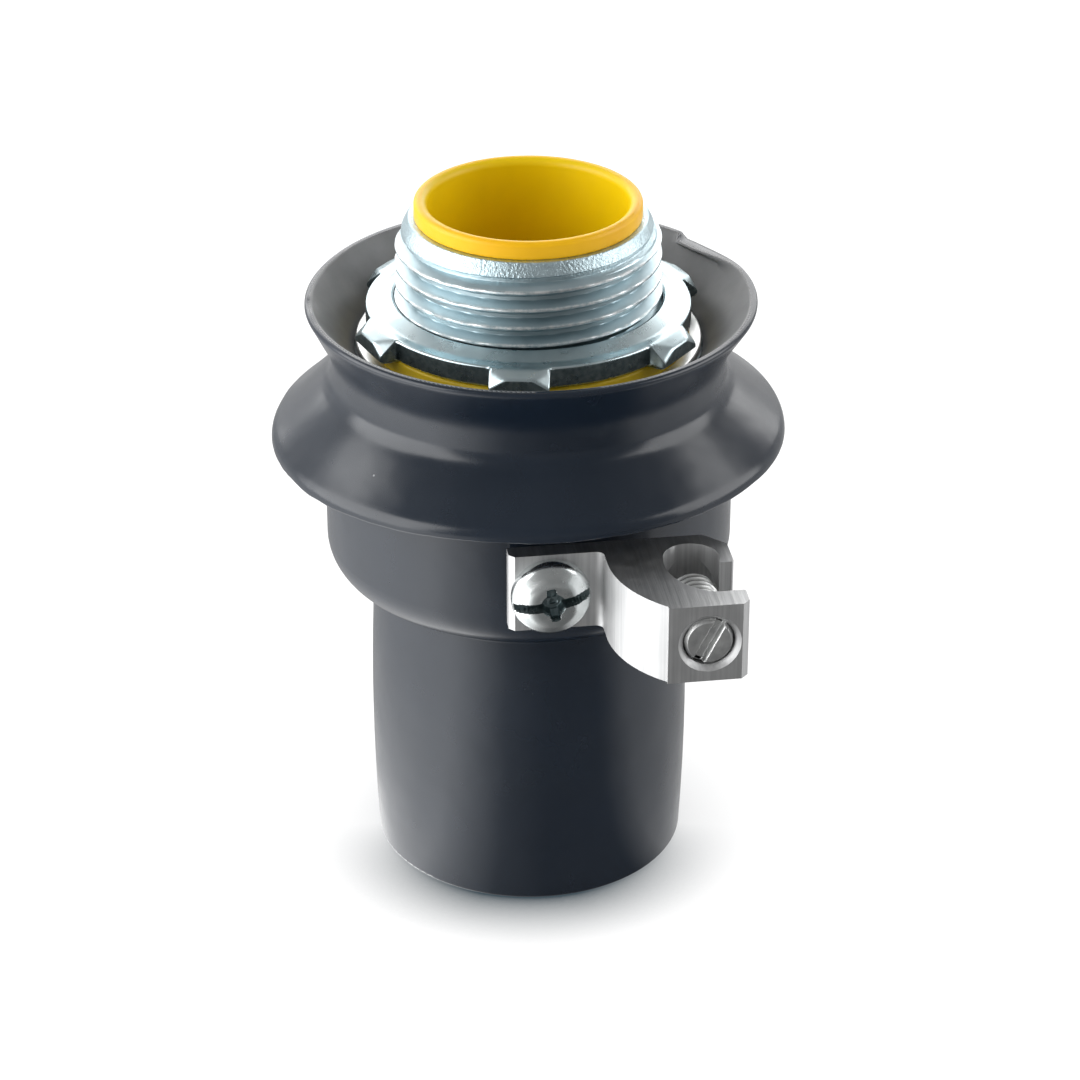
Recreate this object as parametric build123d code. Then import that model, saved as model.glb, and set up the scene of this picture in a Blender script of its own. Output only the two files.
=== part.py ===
from build123d import *

import math
import os

# Straight liquidtight conduit connector, 3/4 inch trade size, in millimetres.
# +Z runs from the conduit end up to the hub thread, and z = 0 is the mouth of the sleeve.
# The ground lug is at the front, towards -Y.

# Conduit that the connector takes
conduit_r = 13.35
conduit_wall = 3.15

# Clearances between pieces
running_gap = 0.06      # radial, a piece that screws or slides on another
seat_gap = 0.02         # radial, a lining or coat on the piece that carries it
rest_gap = 0.15         # a loose piece beside the ones that trap it
socket_gap = 0.25       # radial, the conduit in its socket
ferrule_gap = 0.0       # radial, the ferrule in the conduit

# Edges
metal_edge = 0.3
fine_edge = 0.2
bead_edge = 0.1

# Hub thread, locknut end
thread_r = 13.2
thread_pitch = 1.814
thread_depth = 0.75
thread_crest = 0.3
thread_turns = 6
thread_relief = 2.15    # plain neck between the shoulder and the lowest groove
nose_length = 0.6
nose_drop = 1.9         # how far the nose rounds in from the thread's outside
nose_corner_in = 0.85   # the nose's round corner, in from the thread's outside
nose_corner_down = 0.18
nose_round = 0.6

# Insulated throat
hub_wall = 1.58         # metal between the thread's root and the lining
throat_wall = 1.0
lip_overhang = 0.3
lip_height = 1.7
lip_outer_round = 0.5
lip_inner_round = 0.75

# Connector body
shoulder_margin = 0.1   # the shoulder stands this far outside the seal's retainer
hub_length = 5.4
socket_wall = 3.2       # from the socket to the gland thread's outside
socket_length = 7.2
socket_chamfer = 0.4
gland_thread_length = 10.7

# Sealing ring and its steel retainer
seal_width = 2.6
seal_thickness = 2.3
seal_round = 0.3
retainer_wall = 1.28
retainer_height = 1.0

# Locknut
locknut_web = 2.8       # from the thread's outside to the root between two lugs
lug_reach = 1.5         # how far a lug stands out from that root
locknut_plate = 2.35
locknut_collar = 0.7
collar_width = 1.6
collar_top_width = 0.25
locknut_slope = 0.55    # fall of a lug's top towards its tip
lug_count = 6
lug_width = 5.8
lug_tip_flat = 2.9
lug_bevel = 0.9
lug_phase = -11.0       # turn of the front lug from -Y, degrees

# Gland nut
gland_wall = 2.59       # from its bore to its outside
gland_base = 2.2
gland_cone = 3.2
gland_corner = 3.0
gland_top_gap = 0.6     # from the nut's top to the hub

# Compression ring and ferrule
ring_wall = 2.5
ring_height = 4.7
ring_foot = 0.1         # flat at the small end of the ring's cone
ferrule_wall = 0.6
ferrule_length = 8.0
ferrule_flange = 0.8

# Plastic coats
coat_t = 1.0
sleeve_length = 32.3    # from the mouth to the gland nut's metal
sleeve_gap = 0.65       # radial, the conduit in the sleeve
sleeve_mouth_wall = 1.83
sleeve_belly_wall = 2.2
sleeve_neck_wall = 1.8
sleeve_belly_z = 10.0
sleeve_edge = 0.45
sleeve_fillet = 1.5     # round between the sleeve and the gland nut's underside
sleeve_drop = 1.2       # the sleeve's neck lies this far below the coat's underside
sleeve_flare = 0.3      # widening of the sleeve above its neck
coat_cup = 0.9          # rise of the coat's underside from the sleeve to its corner
coat_rim_round = 0.4
neck_wall = 2.45        # the coat is thickest round the hub
flare_spread = 2.88     # from the neck out to the flare's rim
flare_height = 5.0      # above the sealing shoulder
flare_neck = 0.1        # the flare starts this far above the shoulder
flare_round = 6.0
skirt_spread = 6.08     # from the neck out to the skirt's brim
skirt_lip = 1.0
skirt_drop = 4.75       # height of the skirt's cone
skirt_neck = 3.3        # from the shoulder down to the skirt's cone
skirt_neck_round = 2.4
brim_round = 1.6
coat_inner_round = 0.8

# Ground lug, seen from above: x to the right and y out from the axis towards the front
lug_height = 8.05
lug_rise = 3.35         # from the gland nut's underside
lug_seat_gap = 0.05     # between the tab and the coat behind it
tab_t = 2.0
tab_left = -5.05
tab_width = 9.05
tab_round = 0.8        # hollow corner between the tab and the arm
lug_sweep_r = 12.0      # round outside of the arm
arm_reach = 4.25        # from the tab's right edge to the block's left one
block_nose = 0.4        # the block's front stands this far out from the arm's end
block_width = 7.75
block_t = 2.65          # the block's wall in front of the pocket
block_chamfer = 0.7
wire_in = 3.85          # from the block's left edge to the pocket's centre
wire_out = 4.3          # from the tab's back to the pocket's centre
wire_r = 2.7
pocket_throat = 1.0     # the pocket's front arc ends this far right of its centre
lip_reach = 3.85        # from the pocket's centre to the lip's right edge
lip_out = 1.4           # from the pocket's centre to the lip's front
lip_bevel = 2.1
edge_round = 0.25

# Screws of the ground lug
set_in = 3.95           # from the block's left edge
set_raise = 0.0         # above the middle of the lug
set_r = 2.41
set_length = 9.9
set_recess = 0.25
set_drive = 1.8         # how far the screw can still be driven in
set_sink = 0.53
set_face_edge = 0.35
set_point_r = 0.8
set_point_length = 0.9
set_slot_w = 0.85
set_slot_d = 1.0
set_slot_turn = 27.0
pan_in = 3.95           # from the tab's left edge
pan_raise = -0.2
pan_r = 3.85
pan_height = 2.5
pan_side = 1.1          # height of the head's steep side
pan_dome_r = 2.2
pan_dome_drop = 0.18
pan_side_round = 1.1
pan_dome_round = 1.8
pan_shank_r = 2.08
pan_tip_gap = 0.5       # from the shank's tip to the gland thread
pan_slot_w = 0.9
pan_slot_d = 1.1
pan_slot_turn = 9.0
cross_r = 1.75
cross_w = 0.95
cross_d = 1.6
cross_taper = 12.0
cross_tip_r = 0.35
cross_mouth_r = 1.18

# Radii that follow from the sizes above
body_bore_r = thread_r - thread_depth - hub_wall
throat_outer_r = body_bore_r - seat_gap
throat_r = throat_outer_r - throat_wall
nut_bore_r = thread_r + running_gap
seal_r = thread_r + seal_width
retainer_r = seal_r + seat_gap + retainer_wall
hub_r = retainer_r + shoulder_margin
locknut_root_r = thread_r + locknut_web
locknut_tip_r = locknut_root_r + lug_reach
locknut_collar_r = thread_r + collar_width
socket_r = conduit_r + socket_gap
ferrule_r = conduit_r - conduit_wall - ferrule_gap
gland_thread_r = socket_r + socket_wall
gland_bore_r = gland_thread_r + running_gap
gland_way_r = socket_r + rest_gap
gland_r = gland_bore_r + gland_wall
gland_coat_r = gland_r + coat_t
coat_bore_r = hub_r + seat_gap
neck_r = coat_bore_r + neck_wall
flare_r = neck_r + flare_spread
skirt_r = neck_r + skirt_spread
sleeve_bore_r = conduit_r + sleeve_gap
sleeve_mouth_r = sleeve_bore_r + sleeve_mouth_wall
sleeve_belly_r = sleeve_bore_r + sleeve_belly_wall
sleeve_neck_r = sleeve_bore_r + sleeve_neck_wall

# Heights that follow from the sizes above
gland_z = sleeve_length
gland_seat_z = gland_z + gland_base
gland_cone_z = gland_seat_z + gland_cone
ring_z = gland_seat_z + rest_gap
ring_top_z = ring_z + ring_height
body_z = ring_top_z + rest_gap
socket_z = body_z + socket_length
hub_z = body_z + gland_thread_length
gland_top_z = hub_z - gland_top_gap
shoulder_z = hub_z + hub_length
seal_z = shoulder_z + seal_thickness
locknut_z = seal_z + locknut_plate
thread_bottom_z = shoulder_z + thread_relief
thread_top_z = thread_bottom_z + thread_turns * thread_pitch
nose_z = thread_top_z + nose_length
lip_z = nose_z + lip_height

# Places on the ground lug that follow from the sizes above
tab_back = gland_coat_r + lug_seat_gap
tab_front = tab_back + tab_t
tab_right = tab_left + tab_width
block_left = tab_right + arm_reach
block_right = block_left + block_width
wire_x = block_left + wire_in
wire_y = tab_back + wire_out
sweep_x = tab_right + lug_sweep_r
arm_end = wire_y + math.sqrt(lug_sweep_r ** 2 - (sweep_x - block_left) ** 2)
lug_front = arm_end + block_nose
block_back = lug_front - block_t
lip_right = wire_x + lip_reach
lip_front = wire_y + lip_out
lug_z = gland_z + lug_rise
lug_mid_z = lug_z + lug_height / 2
set_x = block_left + set_in
set_z = lug_mid_z + set_raise
pan_x = tab_left + pan_in
pan_z = lug_mid_z + pan_raise
pan_length = tab_front - gland_bore_r - pan_tip_gap


def turned(corners):
    """Solid of revolution about Z from corners (radius, height, corner rounding)."""
    points = [(r, z) for r, z, rounding in corners]
    roundings = [rounding for r, z, rounding in corners]
    section = make_face(FilletPolyline(*points, radius=roundings, close=True))
    return revolve(Plane.XZ * section, Axis.Z)


def thread_corners():
    """Outline of the hub thread from its lowest groove to its highest."""
    corners = []
    flank = (thread_pitch - thread_crest) / 2
    for turn in range(thread_turns):
        low = thread_bottom_z + turn * thread_pitch
        corners.append((thread_r, low, 0))
        corners.append((thread_r - thread_depth, low + flank, fine_edge))
        corners.append((thread_r, low + 2 * flank, 0))
    return corners


def connector_body():
    """Steel body: conduit socket, gland thread, hub shoulder and threaded nose."""
    outside = [
        (socket_r, body_z, 0),
        (gland_thread_r - socket_chamfer, body_z, 0),
        (gland_thread_r, body_z + socket_chamfer, 0),
        (gland_thread_r, hub_z, 0),
        (hub_r, hub_z, metal_edge),
        (hub_r, shoulder_z, metal_edge),
        (thread_r, shoulder_z, 0),
    ]
    nose = [
        (thread_r, thread_top_z, metal_edge),
        (thread_r - nose_corner_in, nose_z - nose_corner_down, nose_round),
        (thread_r - nose_drop, nose_z, 0),
        (body_bore_r, nose_z, 0),
    ]
    inside = [
        (body_bore_r, socket_z, fine_edge),
        (socket_r, socket_z, fine_edge),
    ]
    return turned(outside + thread_corners() + nose + inside)


def insulated_throat():
    """Yellow plastic lining of the throat, with a rounded lip over the nose."""
    lip_r = throat_outer_r + lip_overhang
    return turned([
        (throat_r, socket_z, metal_edge),
        (throat_outer_r, socket_z, 0),
        (throat_outer_r, nose_z, 0),
        (lip_r, nose_z, bead_edge),
        (lip_r, lip_z, lip_outer_round),
        (throat_r, lip_z, lip_inner_round),
    ])


def sealing_ring():
    """Soft yellow ring on the shoulder, under the locknut."""
    return turned([
        (nut_bore_r, shoulder_z, 0),
        (seal_r, shoulder_z, fine_edge),
        (seal_r, seal_z, seal_round),
        (nut_bore_r, seal_z, fine_edge),
    ])


def seal_retainer():
    """Steel ring round the foot of the sealing ring that keeps it from spreading."""
    inner_r = seal_r + seat_gap
    top_z = shoulder_z + retainer_height
    return turned([
        (inner_r, shoulder_z, 0),
        (retainer_r, shoulder_z, fine_edge),
        (retainer_r, top_z, fine_edge),
        (inner_r, top_z, bead_edge),
    ])


def locknut_lug():
    """One lug at the front: its two tip corners are bevelled towards the top."""
    root = locknut_root_r - 2 * locknut_slope
    half = lug_width / 2
    flat = lug_tip_flat / 2
    tip = locknut_tip_r
    nick = bead_edge
    low = [(-half, -root), (-half, nick - tip), (nick - half, -tip)]
    low += [(half - nick, -tip), (half, nick - tip), (half, -root)]
    high = [(-half, -root), (-half, lug_bevel - tip), (-flat, -tip)]
    high += [(flat, -tip), (half, lug_bevel - tip), (half, -root)]
    middle_z = locknut_z - locknut_slope - lug_bevel
    foot = extrude(Pos(0, 0, seal_z) * make_face(Polyline(*low, close=True)), middle_z - seal_z)
    head = loft([
        Pos(0, 0, middle_z) * make_face(Polyline(*low, close=True)),
        Pos(0, 0, locknut_z) * make_face(Polyline(*high, close=True)),
    ], ruled=True)
    return foot + head


def locknut():
    """Six-lug locknut with a low collar round its thread."""
    collar_z = locknut_z + locknut_collar
    plate = turned([
        (nut_bore_r, seal_z, 0),
        (locknut_root_r, seal_z, bead_edge),
        (locknut_root_r, locknut_z, bead_edge),
        (locknut_collar_r, locknut_z, 0),
        (nut_bore_r + collar_top_width, collar_z, bead_edge),
        (nut_bore_r, collar_z, 0),
    ])
    inner_r = locknut_root_r - lug_reach
    outer_r = locknut_tip_r + lug_reach
    under_slope = turned([
        (inner_r, seal_z, 0),
        (outer_r, seal_z, 0),
        (outer_r, locknut_z - 2 * locknut_slope, 0),
        (locknut_root_r, locknut_z, 0),
        (inner_r, locknut_z, 0),
    ])
    lug = locknut_lug() & under_slope
    lugs = [Rot(0, 0, lug_phase + turn * 360 / lug_count) * lug for turn in range(lug_count)]
    return plate + lugs


def body_coat():
    """Plastic coat of the hub: a flare that seals on the wall and a skirt over the gland nut."""
    rim_z = shoulder_z + flare_height
    flare_z = shoulder_z + flare_neck
    skirt_z = shoulder_z - skirt_neck
    brim_z = skirt_z - skirt_drop
    slant = math.hypot(skirt_r - neck_r, skirt_drop)
    steep = coat_t * (slant - (skirt_r - neck_r)) / skirt_drop
    inner_slope = skirt_drop / (skirt_r - neck_r)
    seat_z = brim_z - steep + (skirt_r - coat_t - coat_bore_r) * inner_slope
    return turned([
        (flare_r - coat_t, rim_z, metal_edge),
        (flare_r, rim_z, metal_edge),
        (neck_r, flare_z, flare_round),
        (neck_r, skirt_z, skirt_neck_round),
        (skirt_r, brim_z, brim_round),
        (skirt_r, brim_z - skirt_lip, metal_edge),
        (skirt_r - coat_t, brim_z - skirt_lip, metal_edge),
        (skirt_r - coat_t, brim_z - steep, coat_inner_round),
        (coat_bore_r, seat_z, 0),
        (coat_bore_r, shoulder_z, 0),
    ])


def gland_nut():
    """Steel gland nut: a cone inside squeezes the compression ring on the conduit."""
    nut = turned([
        (gland_way_r, gland_z, metal_edge),
        (gland_r, gland_z, gland_corner),
        (gland_r, gland_top_z, metal_edge),
        (gland_bore_r, gland_top_z, metal_edge),
        (gland_bore_r, gland_cone_z, 0),
        (gland_way_r, gland_seat_z, 0),
    ])
    return nut - forward_cylinder(pan_x, pan_z, pan_shank_r + seat_gap, gland_bore_r / 2, tab_back)


def gland_nut_coat():
    """Plastic coat of the gland nut, drawn out below into a sleeve over the conduit."""
    base_z = gland_z - coat_t
    corner_r = gland_corner + coat_t
    sleeve_top_z = base_z - sleeve_drop
    bend_r = sleeve_neck_r + sleeve_flare
    bend_z = sleeve_top_z + coat_cup
    outer = Polyline(
        (sleeve_neck_r, sleeve_top_z),
        (bend_r, bend_z),
        (gland_coat_r, base_z + coat_cup),
        (gland_coat_r, gland_top_z),
        (gland_r + seat_gap, gland_top_z),
        (gland_r + seat_gap, gland_z - seat_gap),
        (sleeve_bore_r, gland_z - seat_gap),
        (sleeve_bore_r, 0),
        (sleeve_mouth_r, 0),
    )
    barrel = Spline(
        (sleeve_mouth_r, 0),
        (sleeve_belly_r, sleeve_belly_z),
        (sleeve_neck_r, sleeve_top_z),
    )
    section = make_face(outer.edges() + barrel.edges())
    corners = {
        (gland_coat_r, base_z + coat_cup): corner_r,
        (bend_r, bend_z): sleeve_fillet,
        (gland_coat_r, gland_top_z): coat_rim_round,
        (gland_r + seat_gap, gland_z - seat_gap): gland_corner,
        (sleeve_mouth_r, 0): sleeve_edge,
    }
    for (r, z), rounding in corners.items():
        corner = section.vertices().sort_by_distance(Vector(r, z, 0))[0]
        section = fillet(corner, rounding)
    coat = revolve(Plane.XZ * section, Axis.Z)
    hole_r = pan_shank_r + rest_gap
    return coat - forward_cylinder(pan_x, pan_z, hole_r, gland_bore_r, tab_back + coat_t)


def compression_ring():
    """Nylon ring between the gland nut's cone and the end of the body."""
    inner_r = socket_r
    outer_r = inner_r + ring_wall
    cone_slope = gland_cone / (gland_bore_r - gland_way_r)
    foot_r = gland_way_r + ring_foot
    return turned([
        (inner_r, ring_z, bead_edge),
        (foot_r, ring_z, 0),
        (outer_r, ring_z + (outer_r - foot_r) * cone_slope, metal_edge),
        (outer_r, ring_top_z, metal_edge),
        (inner_r, ring_top_z, metal_edge),
    ])


def ferrule():
    """Steel ferrule: its tube goes inside the conduit and its flange seats in the socket."""
    inner_r = ferrule_r - ferrule_wall
    flange_r = socket_r - rest_gap
    return turned([
        (inner_r, socket_z, fine_edge),
        (inner_r, socket_z - ferrule_length, bead_edge),
        (ferrule_r, socket_z - ferrule_length, metal_edge),
        (ferrule_r, socket_z - ferrule_flange, metal_edge),
        (flange_r, socket_z - ferrule_flange, fine_edge),
        (flange_r, socket_z, fine_edge),
    ])


def forward_cylinder(x, z, radius, inner_y, outer_y):
    """Cylinder that points to the front, from inner_y out to outer_y."""
    return extrude(Plane((x, -inner_y, z), z_dir=(0, -1, 0)) * Circle(radius), outer_y - inner_y)


def lug_outline():
    """Outline of the lug seen from above: tab, round arm, screw block, wire pocket and lip."""
    sweep_angle = math.atan2(arm_end - wire_y, block_left - sweep_x)
    middle_angle = (math.pi + sweep_angle) / 2
    sweep_mid = (
        sweep_x + lug_sweep_r * math.cos(middle_angle),
        wire_y + lug_sweep_r * math.sin(middle_angle),
    )
    pocket_left = wire_x - wire_r
    pocket_right = wire_x + wire_r
    throat_x = wire_x + pocket_throat
    quarter_mid = math.sqrt(0.5)
    pocket_mid = (
        throat_x - quarter_mid * (throat_x - pocket_left),
        wire_y + quarter_mid * (block_back - wire_y),
    )
    edges = [
        Line((tab_left, tab_back), (tab_left, tab_front)),
        Line((tab_left, tab_front), (tab_right, tab_front)),
        Line((tab_right, tab_front), (tab_right, wire_y)),
        ThreePointArc((tab_right, wire_y), sweep_mid, (block_left, arm_end)),
        Line((block_left, arm_end), (block_left, lug_front)),
        Line((block_left, lug_front), (block_right - block_chamfer, lug_front)),
        Line((block_right - block_chamfer, lug_front), (block_right, lug_front - block_chamfer)),
        Line((block_right, lug_front - block_chamfer), (block_right, block_back)),
        Line((block_right, block_back), (throat_x, block_back)),
        ThreePointArc((throat_x, block_back), pocket_mid, (pocket_left, wire_y)),
        ThreePointArc((pocket_left, wire_y), (wire_x, wire_y - wire_r), (pocket_right, wire_y)),
        Line((pocket_right, wire_y), (pocket_right - edge_round, lip_front)),
        Line((pocket_right - edge_round, lip_front), (lip_right, lip_front)),
        Line((lip_right, lip_front), (lip_right, tab_back + lip_bevel)),
        Line((lip_right, tab_back + lip_bevel), (lip_right - lip_bevel, tab_back)),
        Line((lip_right - lip_bevel, tab_back), (tab_left, tab_back)),
    ]
    return make_face(Wire(edges))


def ground_lug():
    """Aluminium lay-in lug, cut from an extrusion and screwed to the gland nut."""
    plan = lug_outline()
    roundings = {
        (tab_left, tab_front): edge_round,
        (tab_left, tab_back): edge_round,
        (tab_right, tab_front): tab_round,
        (block_right, block_back): edge_round,
        (lip_right, lip_front): edge_round,
    }
    for (x, y), rounding in roundings.items():
        corner = plan.vertices().sort_by_distance(Vector(x, y, 0))[0]
        plan = fillet(corner, rounding)
    front_plan = mirror(plan, Plane.XZ)
    lug = extrude(Pos(0, 0, lug_z) * front_plan, lug_height, dir=(0, 0, 1))
    set_hole_r = set_r + running_gap
    set_tip_y = lug_front - set_recess - set_length - set_drive
    lug -= forward_cylinder(set_x, set_z, set_hole_r, set_tip_y - rest_gap, lug_front)
    sink = Plane((set_x, -lug_front, set_z), z_dir=(0, 1, 0))
    lug -= extrude(sink * Circle(set_hole_r + set_sink), set_sink, taper=45)
    lug -= forward_cylinder(pan_x, pan_z, pan_shank_r + rest_gap, tab_back, tab_front)
    return lug


def screw_frame(x, y, z):
    """Frame on a screw's outer face: its own z points to the front."""
    return Plane((x, -y, z), x_dir=(1, 0, 0), z_dir=(0, -1, 0))


def slot_cut(width, depth, length, turn):
    """Straight driver slot, cut down from the face of a screw."""
    return Rot(0, 0, turn) * Pos(0, 0, -depth / 2) * Box(length, width, depth)


def lug_screw():
    """Pan head screw with a slot and a cross recess that holds the lug to the gland nut."""
    frame = screw_frame(pan_x, tab_front, pan_z)
    head = revolve(
        Plane.XZ * make_face(FilletPolyline(
            (0, 0),
            (pan_r, 0),
            (pan_r, pan_side),
            (pan_dome_r, pan_height - pan_dome_drop),
            (0, pan_height),
            radius=[0, bead_edge, pan_side_round, pan_dome_round, 0],
            close=True,
        )),
        Axis.Z,
    )
    shank = Pos(0, 0, -pan_length / 2) * Cylinder(pan_shank_r, pan_length)
    screw = head + shank
    face = Pos(0, 0, pan_height)
    screw -= face * slot_cut(pan_slot_w, pan_slot_d, 3 * pan_r, pan_slot_turn)
    for turn in (0, 90):
        wing = Rot(0, 0, pan_slot_turn + turn) * Rectangle(2 * cross_r, cross_w)
        screw -= face * extrude(wing, -cross_d, taper=cross_taper)
    screw -= face * Pos(0, 0, -cross_d / 2) * Cone(cross_tip_r, cross_mouth_r, cross_d)
    return frame * screw


def set_screw():
    """Slotted set screw that clamps the ground wire in the lug's pocket."""
    frame = screw_frame(set_x, lug_front - set_recess, set_z)
    screw = revolve(
        Plane.XZ * make_face(Polyline(
            (0, 0),
            (set_r - set_face_edge, 0),
            (set_r, -set_face_edge),
            (set_r, set_point_length - set_length),
            (set_r - set_point_r, -set_length),
            (0, -set_length),
            close=True,
        )),
        Axis.Z,
    )
    screw -= slot_cut(set_slot_w, set_slot_d, 3 * set_r, 90 - set_slot_turn)
    return frame * screw


pieces = {
    "connector_body": connector_body,
    "insulated_throat": insulated_throat,
    "sealing_ring": sealing_ring,
    "seal_retainer": seal_retainer,
    "locknut": locknut,
    "body_coat": body_coat,
    "gland_nut": gland_nut,
    "gland_nut_coat": gland_nut_coat,
    "compression_ring": compression_ring,
    "ferrule": ferrule,
    "ground_lug": ground_lug,
    "lug_screw": lug_screw,
    "set_screw": set_screw,
}

os.makedirs("parts", exist_ok=True)
for name, make in pieces.items():
    export_step(make(), f"parts/{name}.step")
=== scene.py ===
import math

import bmesh
import bpy
from mathutils import Matrix, Vector, noise


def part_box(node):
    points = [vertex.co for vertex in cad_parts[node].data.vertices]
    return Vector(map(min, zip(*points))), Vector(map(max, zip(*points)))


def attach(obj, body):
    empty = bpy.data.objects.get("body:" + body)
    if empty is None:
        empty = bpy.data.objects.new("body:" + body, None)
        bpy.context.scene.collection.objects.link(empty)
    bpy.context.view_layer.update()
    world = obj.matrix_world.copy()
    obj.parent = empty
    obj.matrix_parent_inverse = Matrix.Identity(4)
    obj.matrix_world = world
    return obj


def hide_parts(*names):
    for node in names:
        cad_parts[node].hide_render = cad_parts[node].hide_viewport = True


MM = 0.001
FULL_TURN = 2 * math.pi

# Camera, worked out from the flare rim, the locknut and the sleeve's mouth in the photograph
PHOTO_SIZE = 1080
FOCAL_PX = 3550.0
SENSOR_MM = 36.0
CAMERA_MM = (1.14, -318.43, 205.38)
TARGET_MM = (1.14, 0.0, 33.2)
CAMERA_TURN = -8.2      # the camera stands this far round from the lug's front, degrees

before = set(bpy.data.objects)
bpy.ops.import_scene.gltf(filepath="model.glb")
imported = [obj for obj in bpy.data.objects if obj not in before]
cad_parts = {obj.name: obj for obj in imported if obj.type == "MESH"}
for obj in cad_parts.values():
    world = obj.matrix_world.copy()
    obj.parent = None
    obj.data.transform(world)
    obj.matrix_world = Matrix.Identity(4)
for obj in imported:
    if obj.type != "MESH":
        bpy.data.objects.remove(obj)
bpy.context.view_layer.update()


def node_box(node):
    """Lowest and highest corner of a CAD node in millimetres."""
    low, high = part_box(node)
    return low / MM, high / MM


body_low, body_high = node_box("connector_body")
nut_low, nut_high = node_box("locknut")
coat_low, coat_high = node_box("body_coat")
lug_low, lug_high = node_box("ground_lug")
pan_low, pan_high = node_box("lug_screw")
set_low, set_high = node_box("set_screw")

# All lengths and heights below are in millimetres
# Hub: thread, nose and gland thread
SHOULDER_Z = node_box("sealing_ring")[0].z
HUB_R = body_high.x
HUB_LENGTH = 5.4
HUB_Z = SHOULDER_Z - HUB_LENGTH
NOSE_Z = body_high.z
NOSE_FOOT = 66.95       # the thread ends here in a long rounded chamfer
NOSE_R = 12.5
BORE_R = 10.87
SOCKET_R = 13.6
SOCKET_LENGTH = 7.2
THREAD_R = 13.2
THREAD_PITCH = 1.814
THREAD_DEPTH = 0.95
THREAD_CREST = 0.10     # half of the flat on top
THREAD_ROOT = 0.20      # half of the flat in the groove
THREAD_TAPER = 0.03     # fall of the crest for each millimetre upwards
THREAD_START = 61.228   # a crest faces the lug's front at this height
THREAD_SKIN = 1.2       # only points this close to the thread's outside are cut
THREAD_INSET = 0.02     # the full thread stays this far inside the plain cylinder
THREAD_FOOT = SHOULDER_Z + 0.3
THREAD_IN = (SHOULDER_Z + 1.2, SHOULDER_Z + 2.8)  # the groove deepens between these heights
CREST_WEAR = 0.03
CREST_WEAR_AROUND = 9   # how fast the wear changes around the thread and upwards
CREST_WEAR_UP = 1.3
GLAND_THREAD_R = 16.8
GLAND_LEAD = 0.4        # chamfer at the foot of the gland thread
GLAND_PITCH = 1.5
GLAND_DEPTH = 0.5
GLAND_FLAT = 0.15       # half of the flats on top and in the groove
GLAND_SKIN = 0.6
GLAND_IN = (0.7, 1.7)   # the groove deepens between these distances below the hub
BODY_STEPS = 200
BODY_ROW = 0.2          # longest stretch between two rows of points
THREAD_ROW = 0.06       # the same from the shoulder upwards
BORE_ROWS = 8           # one row in so many is kept along the bore
BORE_SLACK = 0.001      # rows this close to the bore count as on it

# Locknut
NUT_BORE_R = 13.26
NUT_ROOT_R = 16.05
NUT_TIP_R = 17.5
NUT_COLLAR_R = 14.8
NUT_COLLAR = 0.7
NUT_SLOPE = 0.367       # fall of a lug's top for each millimetre outwards
NUT_INSET = 0.02
LUG_COUNT = 6
LUG_SECTOR = 360 / LUG_COUNT
LUG_HALF = 2.9
LUG_PHASE = -11.0
LUG_CORNER = 0.16       # softness of a lug's corners and of its roots
LUG_ROOT = 0.22
NUT_FOOT = 0.4          # the outside wall starts this high
NUT_WALL = 0.98         # share of the wall's height that its rows take up
FACET_TIP = 1.65        # reach of a corner's facet along the tip, the side and downwards
FACET_SIDE = 1.7
FACET_DOWN = 0.9
FACET_ANGLE = 0.2       # facets end this far from the lug's middle, radians
FACET_IN = (NUT_ROOT_R - 1.0, NUT_ROOT_R + 0.1)  # facets come in between these radii

# Coat of the hub
COAT_T = 1.0
COAT_BORE_R = HUB_R + 0.02
NECK_R = 19.67
FLARE_R = 22.55
SKIRT_R = coat_high.x
RIM_Z = coat_high.z
SKIRT_Z = 52.3
BRIM_Z = 47.55
COAT_STEPS = 300
COAT_ROW = 0.4
WAVE_RATE = 1.7         # how fast the slow, fine and finest unevenness change around
FINE_RATE = 9.0
FINEST_RATE = 31.0
FLARE_LEAN = 0.22       # the flare leans this far to the camera's right
FLARE_WAVE = 0.12
RIM_WAVE = 0.10
SKIRT_SAG = 0.75        # the skirt hangs this much lower on the camera's left
SKIRT_WAVE = 0.12
TRIM_WAVE = 0.10        # slow and fine unevenness of the trimmed brim
TRIM_FINE = 0.05
FOLD_DEGREES = (98, 120, 124.5, 127.5)  # where the rim's fold starts, is full and ends
FOLD_OUTSIDE = 0.15
FOLD_INSIDE = 1.05
FOLD_DROP = 0.3
NICK_DEGREES = (262, 266, 268, 274)
NICK_DROP = 0.14

# Screws
TAB_T = 2.0
TAB_FRONT = lug_high.y - TAB_T
TAB_CHAMFER = 0.55
EDGE_ROUND = 0.13
WELD = 0.002            # points closer than this are joined
AXIS_R = 0.001          # innermost points of a closed face
WEAR_RATE = 2.3
PAN_R = 3.85
PAN_SHANK_R = 2.08
PAN_HEIGHT = 2.5
PAN_STEPS = 220
PAN_ROW = 0.06
PAN_TURN = math.radians(9.0)
PAN_SLOT = {"half_width": 0.45, "depth": 1.5, "wear": 0.03, "flank": 0.1}
PAN_CROSS = {"reach": 1.75, "half_width": 0.62, "depth": 1.8}
PAN_CENTRE = (pan_low.x + PAN_R, TAB_FRONT, (pan_low.z + pan_high.z) / 2)
SET_R = 2.41
SET_PITCH = 0.794
SET_DEPTH = 0.42
SET_CREST = 0.06
SET_ROOT = 0.08
SET_STEPS = 180
SET_ROW = 0.08
SET_TURN = math.radians(63.0)
SET_SLOT = {"half_width": 0.5, "depth": 0.7, "wear": 0.04, "flank": 0.3}
SET_CENTRE = ((set_low.x + set_high.x) / 2, set_low.y, (set_low.z + set_high.z) / 2)


def smooth_step(value, low, high):
    """0 below low, 1 above high, and a smooth rise between."""
    t = min(max((value - low) / (high - low), 0.0), 1.0)
    return t * t * (3 - 2 * t)


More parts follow.
